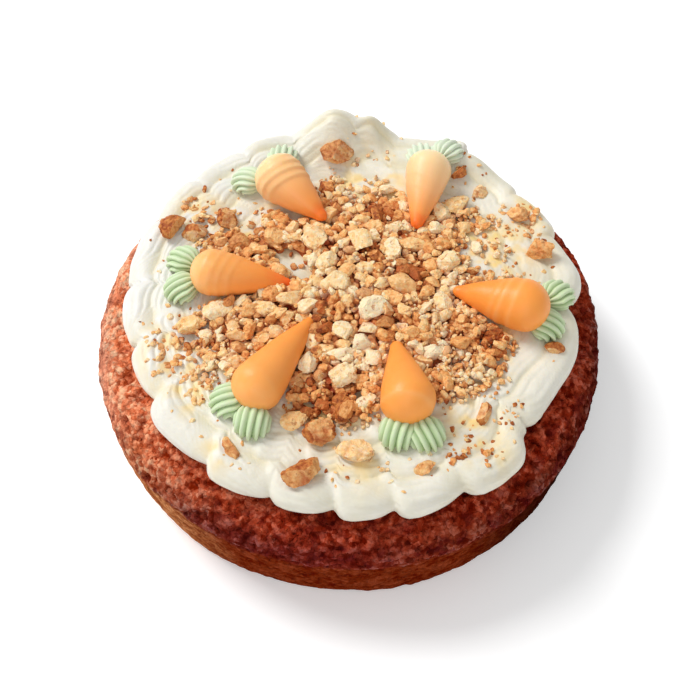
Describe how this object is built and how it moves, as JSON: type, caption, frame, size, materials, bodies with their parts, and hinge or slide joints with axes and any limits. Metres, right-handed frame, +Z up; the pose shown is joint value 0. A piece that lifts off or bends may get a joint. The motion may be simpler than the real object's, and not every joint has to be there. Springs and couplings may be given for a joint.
{
  "type": "carrot cake",
  "caption": "Round uncut carrot cake with a scalloped layer of white frosting, chopped walnuts heaped in the middle and small piped carrots in a ring.",
  "frame": {"origin": "centre of the cake's underside", "axes": "+Z up through the middle of the cake; -Y towards the side seen nearest in the reference view; +X to its right"},
  "size_m": [0.2, 0.2, 0.0745],
  "materials": {
    "sponge_crust": "matt, browned, crumbly crust",
    "frosting_cream": "soft satin cream",
    "chopped_walnut": "matt broken nut, pale inside and brown-skinned",
    "carrot_orange": "soft satin coloured icing",
    "leaf_green": "matt coloured icing",
    "walnut_brown": "matt broken nut with brown skin"
  },
  "bodies": {
    "root": {"sponge": "sponge_crust", "frosting": "frosting_cream", "nut_heap": "chopped_walnut", "carrot_1": "carrot_orange", "carrot_2": "carrot_orange", "carrot_3": "carrot_orange", "carrot_4": "carrot_orange", "carrot_5": "carrot_orange", "carrot_6": "carrot_orange", "leaf_1a": "leaf_green", "leaf_1b": "leaf_green", "leaf_2a": "leaf_green", "leaf_2b": "leaf_green", "leaf_3a": "leaf_green", "leaf_3b": "leaf_green", "leaf_4a": "leaf_green", "leaf_4b": "leaf_green", "leaf_5a": "leaf_green", "leaf_5b": "leaf_green", "leaf_6a": "leaf_green", "leaf_6b": "leaf_green", "walnut_01": "walnut_brown", "walnut_02": "walnut_brown", "walnut_03": "walnut_brown", "walnut_04": "walnut_brown", "walnut_05": "walnut_brown", "walnut_06": "walnut_brown", "walnut_07": "walnut_brown", "walnut_08": "walnut_brown", "walnut_09": "walnut_brown", "walnut_10": "walnut_brown", "walnut_11": "walnut_brown", "walnut_12": "walnut_brown", "walnut_13": "walnut_brown", "walnut_14": "walnut_brown"}
  },
  "joints": []
}
